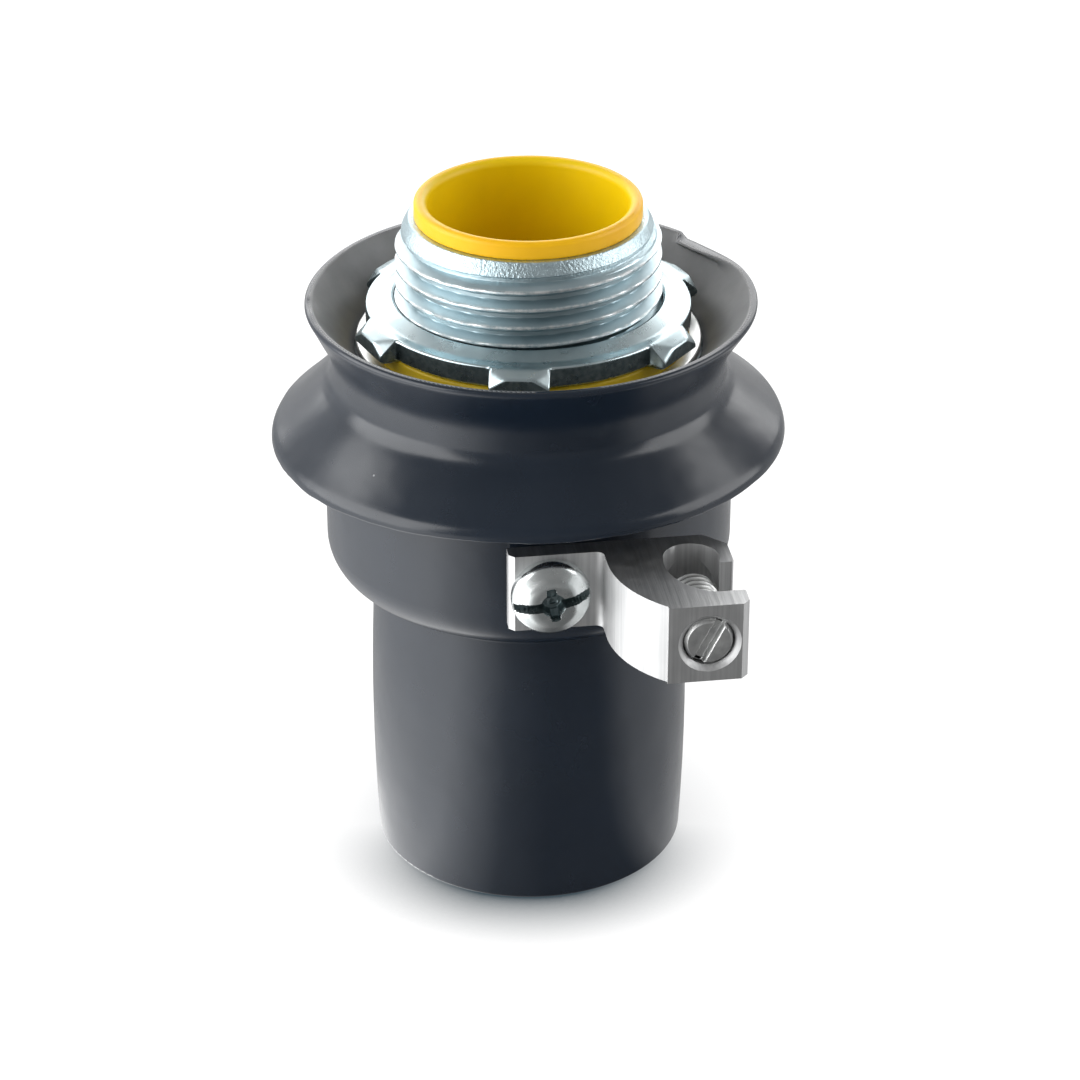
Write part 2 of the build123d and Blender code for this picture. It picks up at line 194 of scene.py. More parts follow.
def smooth_span(value, start, full, fall, end):
    """1 from full to fall, 0 outside start and end, and smooth between."""
    return smooth_step(value, start, full) * smooth_step(-value, -end, -fall)


def smooth_max(a, b, width):
    """The larger of two values, with the change from one to the other rounded off."""
    return (a + b + math.sqrt((a - b) ** 2 + width ** 2)) / 2


def smooth_min(a, b, width):
    """The smaller of two values, rounded off in the same way."""
    return -smooth_max(-a, -b, width)


def rounded(corners, steps=5):
    """Closed outline as points, from corners (r, z, rounding)."""
    points = []
    count = len(corners)
    for i, (r, z, rounding) in enumerate(corners):
        here = Vector((r, z))
        if rounding <= 0:
            points.append(here)
            continue
        back = Vector(corners[i - 1][:2]) - here
        ahead = Vector(corners[(i + 1) % count][:2]) - here
        half = back.angle(ahead) / 2
        reach = rounding / math.tan(half)
        start = here + back.normalized() * reach
        end = here + ahead.normalized() * reach
        middle = (back.normalized() + ahead.normalized()).normalized()
        centre = here + middle * (rounding / math.sin(half))
        first = start - centre
        last = end - centre
        sweep = first.angle_signed(last)
        for step in range(steps + 1):
            turned = Matrix.Rotation(-sweep * step / steps, 2) @ first
            points.append(centre + turned)
    return points


def densify(points, longest):
    """The same closed outline with no stretch longer than a length, or a function of its ends."""
    dense = []
    for i, here in enumerate(points):
        ahead = points[(i + 1) % len(points)]
        limit = longest(here, ahead) if callable(longest) else longest
        pieces = max(1, math.ceil((ahead - here).length / limit))
        dense += [here.lerp(ahead, k / pieces) for k in range(pieces)]
    return dense


def thinned(outline, bore_r, keep_every):
    """Leaves out most points along a hidden bore, where nothing needs them."""
    return [p for i, p in enumerate(outline) if p.x > bore_r or i % keep_every == 0]


def even_angles(steps):
    """Angles in radians that divide a full turn evenly."""
    return [FULL_TURN * step / steps for step in range(steps)]


def tidy_normals(obj, sharp):
    """Faces out, smooth shading with edges sharper than the angle kept."""
    shape = bmesh.new()
    shape.from_mesh(obj.data)
    bmesh.ops.recalc_face_normals(shape, faces=shape.faces)
    shape.to_mesh(obj.data)
    shape.free()
    obj.data.shade_smooth()
    obj.data.set_sharp_from_angle(angle=math.radians(sharp))


def new_object(name, vertices, faces, sharp=35.0):
    """Mesh object from millimetre vertices, smooth but for edges sharper than the angle."""
    mesh = bpy.data.meshes.new(name)
    mesh.from_pydata([Vector(v) * MM for v in vertices], [], faces)
    mesh.validate()
    obj = bpy.data.objects.new(name, mesh)
    bpy.context.scene.collection.objects.link(obj)
    tidy_normals(obj, sharp)
    return obj


def lathe(name, outline, angles, shape, sharp, place=None):
    """Turned piece from a closed outline of pairs. Angle 0 faces the lug's front.

    shape(angle, *pair, row) gives the radius and height there of the pair in that row;
    place maps a finished point into the frame.
    """
    vertices = []
    faces = []
    rows = len(outline)
    for angle in angles:
        for row, pair in enumerate(outline):
            r, z = shape(angle, *pair, row)
            point = Vector((r * math.sin(angle), -r * math.cos(angle), z))
            vertices.append(place @ point if place else point)
    for s in range(len(angles)):
        ahead = (s + 1) % len(angles)
        for i in range(rows):
            j = (i + 1) % rows
            faces.append((s * rows + i, ahead * rows + i, ahead * rows + j, s * rows + j))
    return new_object(name, vertices, faces, sharp)


def bevelled(obj, width, segments, limit):
    """Rounds the sharp edges of an object a little and writes that into its mesh."""
    obj.data.shade_smooth()
    bevel = obj.modifiers.new("bevel", "BEVEL")
    bevel.width = width * MM
    bevel.segments = segments
    bevel.limit_method = "ANGLE"
    bevel.angle_limit = math.radians(limit)
    flat = obj.modifiers.new("flat_faces", "WEIGHTED_NORMAL")
    flat.weight = 100
    flat.keep_sharp = True
    graph = bpy.context.evaluated_depsgraph_get()
    mesh = bpy.data.meshes.new_from_object(obj.evaluated_get(graph))
    obj.modifiers.clear()
    obj.data = mesh
    return obj


def copied(node, name):
    """A free copy of a CAD node's mesh, with its flat faces joined."""
    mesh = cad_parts[node].data.copy()
    obj = bpy.data.objects.new(name, mesh)
    bpy.context.scene.collection.objects.link(obj)
    shape = bmesh.new()
    shape.from_mesh(mesh)
    bmesh.ops.remove_doubles(shape, verts=shape.verts, dist=WELD * MM)
    bmesh.ops.dissolve_limit(
        shape, angle_limit=math.radians(1.0), verts=shape.verts, edges=shape.edges)
    shape.to_mesh(mesh)
    shape.free()
    return obj


def stand_in(piece, node, body, material):
    """Puts a finished piece in the place of a CAD node."""
    piece.data.materials.clear()
    piece.data.materials.append(material)
    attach(piece, body)
    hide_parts(node)


# Pieces that replace their CAD nodes


def thread_fall(angle, z, start, pitch, crest, root, depth):
    """How far a right-hand thread's surface lies below its crest."""
    phase = ((z - start) / pitch - angle / FULL_TURN + 0.5) % 1.0
    away = abs(phase - 0.5) * pitch
    flank = pitch / 2 - crest - root
    return depth * min(max((away - crest) / flank, 0.0), 1.0)


def make_body():
    """Steel body with its real hub thread, a cast nose and the gland thread under the nut."""

    def longest(here, ahead):
        climbs = abs(ahead.y - here.y) > 0.01
        return THREAD_ROW if climbs and min(here.y, ahead.y) >= SHOULDER_Z else BODY_ROW

    outline = densify(rounded([
        (SOCKET_R, body_low.z, 0),
        (GLAND_THREAD_R - GLAND_LEAD, body_low.z, 0),
        (GLAND_THREAD_R, body_low.z + GLAND_LEAD, 0),
        (GLAND_THREAD_R, HUB_Z, 0),
        (HUB_R, HUB_Z, 0.1),
        (HUB_R, SHOULDER_Z, 0.3),
        (THREAD_R, SHOULDER_Z, 0),
        (THREAD_R, NOSE_FOOT, 0),
        (NOSE_R, NOSE_FOOT + 0.25, 0.2),
        (NOSE_R - 0.15, NOSE_Z - 1.2, 1.6),
        (NOSE_R - 0.8, NOSE_Z, 0.2),
        (BORE_R, NOSE_Z, 0),
        (BORE_R, body_low.z + SOCKET_LENGTH, 0.2),
        (SOCKET_R, body_low.z + SOCKET_LENGTH, 0.2),
    ]), longest)
    outline = thinned(outline, BORE_R + BORE_SLACK, BORE_ROWS)

    def threaded(angle, r, z, row):
        below = HUB_Z - z
        if z > THREAD_FOOT and r > THREAD_R - THREAD_SKIN:
            fade = smooth_step(z, *THREAD_IN)
            fall = thread_fall(
                angle, z, THREAD_START, THREAD_PITCH, THREAD_CREST, THREAD_ROOT, THREAD_DEPTH)
            around = CREST_WEAR_AROUND
            spot = Vector((around * math.sin(angle), around * math.cos(angle), z * CREST_WEAR_UP))
            ragged = CREST_WEAR * noise.noise(spot) * (1 - fall / THREAD_DEPTH)
            taper = THREAD_TAPER * max(z - THREAD_START, 0.0)
            r = min(r, THREAD_R - taper - fade * (fall - ragged) - THREAD_INSET * fade)
        elif below > GLAND_IN[0] and r > GLAND_THREAD_R - GLAND_SKIN:
            fade = smooth_step(below, *GLAND_IN)
            fall = thread_fall(
                angle, z, body_low.z, GLAND_PITCH, GLAND_FLAT, GLAND_FLAT, GLAND_DEPTH)
            r = min(r, GLAND_THREAD_R - fade * fall)
        return r, z

    return lathe("steel_body", outline, even_angles(BODY_STEPS), threaded, sharp=28.0)


def lug_offset(angle):
    """Angle from the middle of the nearest locknut lug."""
    sector = math.radians(LUG_SECTOR)
    start = math.radians(LUG_PHASE)
    return (angle - start + sector / 2) % sector - sector / 2


def nut_reach(angle):
    """Outside radius of the locknut, with softened corners and roots."""
    away = max(abs(lug_offset(angle)), 1e-4)
    lug = smooth_min(NUT_TIP_R / math.cos(away), LUG_HALF / math.sin(away), LUG_CORNER)
    return smooth_max(lug, NUT_ROOT_R, LUG_ROOT) - NUT_INSET


def nut_fall(angle, r):
    """How far the locknut's top lies below its plate there: slope and corner facets."""
    away = abs(lug_offset(angle))
    fall = NUT_SLOPE * max(r - NUT_ROOT_R, 0.0)
    side = LUG_HALF - r * math.sin(away)
    tip = NUT_TIP_R - r * math.cos(away)
    facet = FACET_DOWN * (1 - side / FACET_TIP - tip / FACET_SIDE)
    within = smooth_step(r, *FACET_IN)
    return fall + max(facet * within, 0.0) if away < FACET_ANGLE else fall


def make_nut():
    """Stamped locknut: six lugs whose upper corners are struck off, and a low collar."""
    # Degrees from a lug's middle, closest together at its corners
    steps = [0, 1, 2, 3, 4, 5, 6, 6.8, 7.5, 8.1, 8.6, 9.0, 9.25, 9.5, 9.7, 9.9, 10.1, 10.3, 10.5]
    steps += [10.75, 11.0, 11.4, 12, 13, 14.5, 16, 18, 20, 22, 24, 26, 28]
    half = [-s for s in reversed(steps[1:])] + steps + [LUG_SECTOR / 2]
    angles = [
        math.radians(LUG_PHASE + LUG_SECTOR * lug + step)
        for lug in range(LUG_COUNT) for step in half
    ]
    floor_z = nut_low.z
    plate_z = nut_high.z - NUT_COLLAR
    foot = floor_z + NUT_FOOT
    # Inset and drop of the upper edge's rounding, then insets of the rows on the flat top
    edge = [(0.0, 0.26), (0.02, 0.16), (0.08, 0.07), (0.17, 0.02), (0.28, 0.0)]
    inward = [0.45, 0.7, 1.0, 1.35, 1.7, 2.1, 2.5]
    rows = [(NUT_BORE_R, floor_z)]
    rows += [("under", (0.9, 0.0)), ("under", (0.3, 0.14))]
    rows += [("wall", share) for share in (0.0, 0.08, 0.35, 0.7, 1.0)]
    rows += [("edge", pair) for pair in edge]
    rows += [("top", depth) for depth in inward]
    rows += [(NUT_COLLAR_R + 0.15, plate_z), (NUT_COLLAR_R - 0.1, plate_z + 0.08)]
    rows += [(NUT_BORE_R + 0.4, nut_high.z - 0.06), (NUT_BORE_R + 0.22, nut_high.z)]
    rows += [(NUT_BORE_R, nut_high.z - 0.1)]

    def stamped(angle, kind, value, row):
        reach = nut_reach(angle)
        if kind == "under":
            inset, rise = value
            return reach - inset, floor_z + rise
        if kind == "wall":
            top = plate_z - nut_fall(angle, reach) - edge[0][1]
            return reach, foot + (top - foot) * value * NUT_WALL
        if kind == "edge":
            inset, drop = value
            r = reach - inset
            return r, plate_z - nut_fall(angle, r) - drop
        if kind == "top":
            share = (value - edge[-1][0]) / (inward[-1] - edge[-1][0])
            outer = reach - edge[-1][0]
            r = outer + (NUT_COLLAR_R + 0.4 - outer) * share
            return r, plate_z - nut_fall(angle, r)
        return kind, value

    return lathe("stamped_locknut", rows, angles, stamped, sharp=32.0)


def make_coat():
    """Coat of the hub: flare leaning a little, one fold pressed into its rim, trimmed brim."""
    outline = densify(rounded([
        (FLARE_R - COAT_T, RIM_Z, 0.35),
        (FLARE_R, RIM_Z, 0.35),
        (NECK_R, SHOULDER_Z + 0.1, 6.0),
        (NECK_R, SKIRT_Z, 2.4),
        (SKIRT_R, BRIM_Z, 1.6),
        (SKIRT_R, coat_low.z, 0.25),
        (SKIRT_R - COAT_T, coat_low.z, 0.25),
        (SKIRT_R - COAT_T, BRIM_Z - 0.522, 0.8),
        (COAT_BORE_R, SHOULDER_Z - 2.5, 0),
        (COAT_BORE_R, SHOULDER_Z + 0.02, 0),
    ], 8), COAT_ROW)
    right = math.radians(CAMERA_TURN + 90)
    wave_shift = Vector((3.1, 0.4, 0.0))
    fine_shift = Vector((0.0, 7.7, 0.0))

    def handled(angle, r, z, row):
        up = smooth_step(z, SHOULDER_Z + 1.0, RIM_Z)
        down = smooth_step(SKIRT_Z - z, 0.0, SKIRT_Z - BRIM_Z)
        around = Vector((math.sin(angle), math.cos(angle), 0.0))
        wave = noise.noise(around * WAVE_RATE + wave_shift)
        fine = noise.noise(around * FINE_RATE + fine_shift)
        r += up * (FLARE_LEAN * math.cos(angle - right) + FLARE_WAVE * wave)
        z += up * RIM_WAVE * wave
        z -= down * SKIRT_SAG * smooth_step(-math.cos(angle - right), 0.1, 1.0)
        r -= down * SKIRT_WAVE * (1 + wave)
        brim = smooth_step(coat_low.z + 0.8 - z, -0.1, 0.7)
        if down > 0.9:
            finest = noise.noise(around * FINEST_RATE)
            z += brim * (TRIM_WAVE * fine + TRIM_FINE * finest)
        degrees = math.degrees(angle) % 360
        lip = smooth_step(z, RIM_Z - 0.75, RIM_Z - 0.25)
        inner = smooth_step(FLARE_R + 0.2 - r, 0.25, 0.8)
        fold = smooth_span(degrees, *FOLD_DEGREES) * lip
        r -= fold * (FOLD_OUTSIDE + FOLD_INSIDE * inner)
        z -= fold * FOLD_DROP
        z -= smooth_span(degrees, *NICK_DEGREES) * lip * NICK_DROP
        return min(r, SKIRT_R), min(z, RIM_Z)

    return lathe("hub_coat", outline, even_angles(COAT_STEPS), handled, sharp=50.0)


def screw_place(centre):
    """Frame of a screw: its own z points to the front."""
    facing = Matrix(((1, 0, 0), (0, 0, -1), (0, 1, 0)))
    return Matrix.Translation(centre) @ facing.to_4x4()


def slot_depth(x, y, turn, half_width, depth, wear, flank):
    """Depth of a straight driver slot at a point of a screw's face, with worn edges."""
    across = abs(y * math.cos(turn) - x * math.sin(turn))
    across += wear * noise.noise(Vector((x * WEAR_RATE, y * WEAR_RATE, 5.0)))
    return depth * smooth_step(half_width + flank / 2 - across, 0.0, flank)


def cross_depth(x, y, turn, reach, half_width, depth):
    """Depth of a cross recess: four wings that run down to a round middle."""
    narrowing = 0.35        # shares of a wing's width and depth that are lost at its end
    rising = 0.45
    middle_r = 1.25
    middle_depth = 0.85
    along = x * math.cos(turn) + y * math.sin(turn)
    across = y * math.cos(turn) - x * math.sin(turn)
    deepest = 0.0
    for u, v in ((abs(along), abs(across)), (abs(across), abs(along))):
        width = half_width * (1 - narrowing * u / reach)
        wing = smooth_step(width + 0.06 - v, 0.0, 0.16) * smooth_step(reach + 0.05 - u, 0.0, 0.2)
        deepest = max(deepest, wing * (depth - rising * depth * u / reach))
    middle = smooth_step(middle_r - math.hypot(x, y), 0.0, 0.35)
    return max(deepest, middle * depth * middle_depth)


def make_pan():
    """Pan head screw with one slot right across and a cross recess, and its deep faces, which get
    painted shade.
    """
    shank = TAB_FRONT - pan_high.y
    rim_z = 0.9             # nothing below this is pressed in
    deep_z = 0.15           # faces sunk further than this get a darker colour, a painted shade
    outline = densify(rounded([
        (AXIS_R, shank, 0),
        (PAN_SHANK_R, shank, 0.3),
        (PAN_SHANK_R, 0, 0),
        (PAN_R, 0, 0.12),
        (PAN_R, 1.1, 1.1),
        (2.2, PAN_HEIGHT - 0.18, 1.8),
        (AXIS_R, PAN_HEIGHT, 0),
    ], 8), PAN_ROW)
    sunk = set()

    def pressed(angle, r, z, row):
        if z < rim_z or r > PAN_R - 0.02:
            return r, z
        x = r * math.sin(angle)
        y = -r * math.cos(angle)
        slot = slot_depth(x, y, PAN_TURN, **PAN_SLOT)
        depth = max(slot, cross_depth(x, y, PAN_TURN, **PAN_CROSS))
        if depth > 0.01 and PAN_HEIGHT - depth < z:
            if z - PAN_HEIGHT + depth > deep_z:
                sunk.add((angle, row))
            return r, PAN_HEIGHT - depth
        return r, z

    angles = even_angles(PAN_STEPS)
    place = screw_place(PAN_CENTRE)
    piece = lathe("pan_head_screw", outline, angles, pressed, sharp=40.0, place=place)
    rows = len(outline)
    deep = []
    for s, angle in enumerate(angles):
        ahead = angles[(s + 1) % PAN_STEPS]
        for i in range(rows):
            j = (i + 1) % rows
            if {(angle, i), (ahead, i), (angle, j), (ahead, j)} <= sunk:
                deep.append(s * rows + i)
    return piece, deep


def make_set():
    """Set screw with its real thread, seen in the wire pocket, and a driver slot."""
    length = set_high.y - set_low.y
    outline = densify(rounded([
        (AXIS_R, -length, 0),
        (SET_R - 0.8, -length, 0),
        (SET_R, -length + 0.9, 0),
        (SET_R, -0.35, 0),
        (SET_R - 0.35, 0, 0.1),
        (AXIS_R, 0, 0),
    ]), SET_ROW)

    def cut(angle, r, z, row):
        if r > SET_R - 0.6 and z < -0.2:
            fall = thread_fall(angle, z, 0.0, SET_PITCH, SET_CREST, SET_ROOT, SET_DEPTH)
            r = min(r, SET_R - fall)
        if z > -1.2:
            x = r * math.sin(angle)
            y = -r * math.cos(angle)
            z = min(z, -slot_depth(x, y, SET_TURN, **SET_SLOT))
        return r, z

    angles = even_angles(SET_STEPS)
    place = screw_place(SET_CENTRE)
    return lathe("threaded_set_screw", outline, angles, cut, sharp=50.0, place=place)


def make_lug():
    """Lay-in lug with one corner of its tab cut off and a small round on every edge."""
    lug = copied("ground_lug", "lay_in_lug")
    shape = bmesh.new()
    shape.from_mesh(lug.data)
    everything = [*shape.verts, *shape.edges, *shape.faces]
    corner = Vector((lug_low.x + TAB_CHAMFER, TAB_FRONT, 0)) * MM
    bmesh.ops.bisect_plane(
        shape, geom=everything, plane_co=corner, plane_no=(-1, -1, 0), clear_outer=True)
    rim = [edge for edge in shape.edges if edge.is_boundary]
    bmesh.ops.holes_fill(shape, edges=rim)
    shape.to_mesh(lug.data)
    shape.free()
    return bevelled(lug, EDGE_ROUND, segments=2, limit=30.0)


# Materials. Colours are pairs, one for each end of a material's clouds; roughness is a pair too.

COAT_COLOURS = ((0.005, 0.011, 0.021), (0.009, 0.016, 0.028))
# Pale grey inside the flare: a painted sheen, not the plastic's own colour
COAT_INSIDE_SHEEN = ((0.16, 0.163, 0.168), (0.22, 0.223, 0.228))
COAT_DUST = (0.30, 0.31, 0.32)
THROAT_INSIDE = ((0.80, 0.56, 0.001), (0.86, 0.61, 0.002))
THROAT_LIP = ((0.88, 0.46, 0.004), (0.95, 0.53, 0.006))
LIP_R = (10.2, 10.7)    # the throat's colour changes to the lip's between these radii
SEAL_COLOURS = ((0.62, 0.42, 0.006), (0.74, 0.52, 0.010))
BODY_COLOURS = ((0.43, 0.54, 0.58), (0.55, 0.67, 0.71))
NUT_COLOURS = ((0.44, 0.54, 0.57), (0.60, 0.69, 0.71))
RETAINER_COLOURS = ((0.66, 0.67, 0.66), (0.78, 0.78, 0.77))
GLAND_COLOURS = ((0.44, 0.48, 0.51), (0.60, 0.63, 0.65))
FERRULE_COLOURS = ((0.50, 0.52, 0.54), (0.66, 0.68, 0.69))
PAN_COLOURS = ((0.62, 0.66, 0.66), (0.74, 0.77, 0.77))
# Dark colour for the deep faces of the pan head's slot and recess: painted shade
DEEP_FACE_SHADE = ((0.10, 0.14, 0.15), (0.24, 0.29, 0.30))
SET_COLOURS = ((0.58, 0.59, 0.59), (0.82, 0.83, 0.82))
NYLON_COLOURS = ((0.66, 0.65, 0.58), (0.78, 0.77, 0.71))
LUG_COLOURS = ((0.52, 0.525, 0.53), (0.66, 0.665, 0.665))
# Darker colour for the locknut's upright walls: painted shade
UPRIGHT_WALL_SHADE = ((0.14, 0.18, 0.19), (0.25, 0.30, 0.31))
# Darker colour for the thread's grooves: painted shade
THREAD_GROOVE_SHADE = (0.22, 0.29, 0.32)
# Bright crest colour: partly wear, partly a painted highlight
THREAD_WORN_GLINT = (0.90, 0.92, 0.92)
# Dark colour for the set screw's thread root: painted shade
SCREW_ROOT_SHADE = (0.06, 0.06, 0.06)
CAST_Z = NOSE_FOOT + 0.4


class Shader:
    """Small helper that builds one material's nodes in millimetre object space."""

    def __init__(self, name):
        self.material = bpy.data.materials.new(name)
        self.material.use_nodes = True
        self.tree = self.material.node_tree
        self.surface = self.tree.nodes["Principled BSDF"]
        place = self.node("ShaderNodeTexCoord").outputs["Object"]
        scale = self.node("ShaderNodeVectorMath", operation="SCALE")
        scale.inputs["Scale"].default_value = 1 / MM
        self.link(place, scale.inputs[0])
        self.place = scale.outputs[0]
        self.normal = None

    def node(self, kind, **settings):
        """New node with its properties set."""
        made = self.tree.nodes.new(kind)
        for key, value in settings.items():
            setattr(made, key, value)
        return made

    def link(self, source, target):
        """Wire from an output to an input."""
        self.tree.links.new(source, target)

    def math(self, operation, a, b=None):
        """Result of a Math node; a and b are numbers or outputs."""
        made = self.node("ShaderNodeMath", operation=operation)
        for socket, value in zip(made.inputs, (a, b)):
            if isinstance(value, (int, float)):
                socket.default_value = value
            elif value is not None:
                self.link(value, socket)
        return made.outputs[0]

    def dot(self, vector, direction):
        """Dot product of an output with a fixed direction or another output."""
        made = self.node("ShaderNodeVectorMath", operation="DOT_PRODUCT")
        self.link(vector, made.inputs[0])
        if isinstance(direction, Vector):
            made.inputs[1].default_value = direction
        else:
            self.link(direction, made.inputs[1])
        return made.outputs["Value"]

    def axis(self, name, place=None):
        """One coordinate, of the surface point unless another vector is given."""
        parts = self.node("ShaderNodeSeparateXYZ")
        self.link(place or self.place, parts.inputs[0])
        return parts.outputs[name]

    def true_normal(self):
        """Flat direction of the face."""
        return self.node("ShaderNodeNewGeometry").outputs["True Normal"]

    def stretched(self, x, y, z):
        """Coordinates multiplied along each axis."""
        made = self.node("ShaderNodeMapping")
        made.inputs["Scale"].default_value = (x, y, z)
        self.link(self.place, made.inputs["Vector"])
        return made.outputs[0]

    def ring_place(self, centre=(0, 0, 0), axis="Z"):
        """Coordinates that run only along a turned surface: distance from the axis and depth."""
        shift = self.node("ShaderNodeVectorMath", operation="SUBTRACT")
        shift.inputs[1].default_value = centre
        self.link(self.place, shift.inputs[0])
        across = {"Z": ("X", "Y"), "Y": ("X", "Z")}[axis]
        first = self.math("POWER", self.axis(across[0], shift.outputs[0]), 2)
        second = self.math("POWER", self.axis(across[1], shift.outputs[0]), 2)
        radius = self.math("SQRT", self.math("ADD", first, second))
        made = self.node("ShaderNodeCombineXYZ")
        self.link(radius, made.inputs[0])
        self.link(self.axis(axis, shift.outputs[0]), made.inputs[1])
        return made.outputs[0]

    def noise(self, scale, detail, place=None, rough=0.5):
        """Noise at a scale for each millimetre."""
        made = self.node("ShaderNodeTexNoise")
        made.inputs["Scale"].default_value = scale
        made.inputs["Detail"].default_value = detail
        made.inputs["Roughness"].default_value = rough
        self.link(place or self.place, made.inputs["Vector"])
        return made.outputs["Fac"]

    def spread(self, value, low, high, to_low, to_high):
        """Value moved from one range to another and kept inside it."""
        made = self.node("ShaderNodeMapRange")
        for socket, number in zip(list(made.inputs)[1:5], (low, high, to_low, to_high)):
            socket.default_value = number
        self.link(value, made.inputs[0])
        return made.outputs[0]

    def shades(self, value, stops):
        """Colour ramp from (position, colour) stops."""
        made = self.node("ShaderNodeValToRGB")
        ramp = made.color_ramp
        while len(ramp.elements) < len(stops):
            ramp.elements.new(0.5)
        for element, (position, colour) in zip(ramp.elements, stops):
            element.position = position
            element.color = (*colour, 1)
        self.link(value, made.inputs[0])
        return made.outputs[0]

    def clouds(self, scale, colours, low=0.3, high=0.7):
        """Slow change between two colours."""
        return self.shades(self.noise(scale, 4.0), [(low, colours[0]), (high, colours[1])])

    def uneven(self, scale, span, detail=4.0):
        """Slow change between two numbers."""
        return self.spread(self.noise(scale, detail), 0.3, 0.7, *span)

    def mix(self, factor, first, second):
        """Colour between two colours or outputs."""
        made = self.node("ShaderNodeMix", data_type="RGBA")
        self.link(factor, made.inputs[0])
        for socket, value in ((made.inputs[6], first), (made.inputs[7], second)):
            if isinstance(value, tuple):
                socket.default_value = (*value, 1)
            else:
                self.link(value, socket)
        return made.outputs[2]

    def specks(self, scale, size, colour, speck_colour):
        """Small round specks scattered over a colour."""
        cells = self.node("ShaderNodeTexVoronoi")
        cells.inputs["Scale"].default_value = scale
        self.link(self.place, cells.inputs["Vector"])
        near = self.math("LESS_THAN", cells.outputs["Distance"], size)
        return self.mix(near, colour, speck_colour)

    def bump(self, height, strength, depth):
        """Fine relief on top of the bumps made before; the depth is in millimetres."""
        made = self.node("ShaderNodeBump")
        made.inputs["Strength"].default_value = strength
        made.inputs["Distance"].default_value = depth * MM
        self.link(height, made.inputs["Height"])
        if self.normal:
            self.link(self.normal, made.inputs["Normal"])
        self.normal = made.outputs["Normal"]

    def finish(self, colour, rough, metallic=0.0, **settings):
        """Material with its colour, roughness and other constants on the shader's sockets."""
        self.link(colour, self.surface.inputs["Base Color"])
        if isinstance(rough, float):
            self.surface.inputs["Roughness"].default_value = rough
        else:
            self.link(rough, self.surface.inputs["Roughness"])
        self.surface.inputs["Metallic"].default_value = metallic
        for key, value in settings.items():
            self.surface.inputs[key.replace("_", " ")].default_value = value
        if self.normal:
            self.link(self.normal, self.surface.inputs["Normal"])
        return self.material


def coat_material():
    """Dark slate plastic: satin skin, a slow ripple from dipping, dust, and a painted sheen that
    makes the flare's inside paler.
    """
    s = Shader("coat_pvc")
    colour = s.clouds(0.09, COAT_COLOURS)
    colour = s.specks(0.14, 0.014, colour, COAT_DUST)
    rough = s.uneven(0.25, (0.21, 0.28))
    inward = s.math("LESS_THAN", s.dot(s.true_normal(), s.stretched(1.0, 1.0, 0.0)), 0.0)
    inside = s.math("MULTIPLY", inward, s.math("GREATER_THAN", s.axis("Z"), SHOULDER_Z))
    # Inside the flare the colour is painted paler, a painted sheen; the added roughness there is
    # real
    colour = s.mix(inside, colour, s.clouds(0.3, COAT_INSIDE_SHEEN))
    rough = s.math("ADD", rough, s.math("MULTIPLY", inside, 0.2))
    s.bump(s.noise(0.12, 2.0), 0.5, 0.30)
    s.bump(s.noise(0.5, 2.0), 0.06, 0.03)
    return s.finish(colour, rough, Specular_IOR_Level=0.55)


def throat_material():
    """Moulded yellow plastic of the throat: deeper on its lip, with faint flow lines."""
    s = Shader("throat_yellow")
    inside = s.clouds(0.12, THROAT_INSIDE)
    lip = s.clouds(0.2, THROAT_LIP)
    outwards = s.axis("X", s.ring_place())
    colour = s.mix(s.spread(outwards, *LIP_R, 0.0, 1.0), inside, lip)
    rough = s.uneven(0.9, (0.34, 0.46))
    s.bump(s.noise(0.8, 3.0), 0.2, 0.03)
    return s.finish(colour, rough, Specular_IOR_Level=0.3)


def soft_material(name, colours, cloud_scale, relief, rough):
    """Seal rubber or nylon: slow clouds and a fine matt skin; rough is what uneven() takes."""
    s = Shader(name)
    colour = s.clouds(cloud_scale, colours)
    s.bump(s.noise(1.6, 3.0), relief, 0.03)
    return s.finish(colour, s.uneven(*rough))


def zinc_material(name, colours, rough, turned=0.1, threaded=False, shaded_walls=False):
    """Bright zinc plate: faint clouds and turning marks.

    A threaded piece gets brighter crests, partly wear and partly a painted highlight, painted
    shade in its grooves and cast grain above them;
    shaded_walls paints shade on the upright walls.
    """
    s = Shader(name)
    colour = s.clouds(0.22, colours, high=0.72)
    if threaded:
        rise = s.math("MULTIPLY", s.axis("Z"), THREAD_TAPER)
        out = s.math("ADD", s.axis("X", s.ring_place()), rise)
        crest = THREAD_R + THREAD_TAPER * THREAD_START
        # Brighter crests: partly wear, partly a painted highlight along the crest lines
        worn = s.spread(s.noise(1.4, 4.0, rough=0.7), 0.35, 0.62, 0.1, 1.0)
        worn = s.math("MULTIPLY", worn, s.spread(out, crest - 0.22, crest - 0.06, 0.0, 1.0))
        # Painted shade: the thread's grooves are painted darker below the cast nose
        low = s.spread(out, crest - THREAD_DEPTH, crest - 0.4, 0.55, 0.0)
        below = s.spread(s.axis("Z"), CAST_Z - 0.4, CAST_Z, 1.0, 0.0)
        colour = s.mix(s.math("MULTIPLY", low, below), colour, THREAD_GROOVE_SHADE)
        colour = s.mix(worn, colour, THREAD_WORN_GLINT)
    # Painted shade: the upright walls are painted darker
    if shaded_walls:
        tilt = s.math("ABSOLUTE", s.axis("Z", s.true_normal()))
        upright = s.math("LESS_THAN", tilt, 0.3)
        colour = s.mix(upright, colour, s.clouds(1.8, UPRIGHT_WALL_SHADE, low=0.35))
    roughness = s.uneven(0.7, rough)
    s.bump(s.noise(3.0, 2.0, s.ring_place()), turned, 0.02)
    if threaded:
        cast = s.spread(s.axis("Z"), CAST_Z, CAST_Z + 0.35, 0.0, 1.0)
        s.bump(s.math("MULTIPLY", s.noise(3.2, 3.0, rough=0.6), cast), 0.8, 0.14)
    s.bump(s.noise(0.8, 3.0), 0.15, 0.04)
    return s.finish(colour, roughness, metallic=1.0)


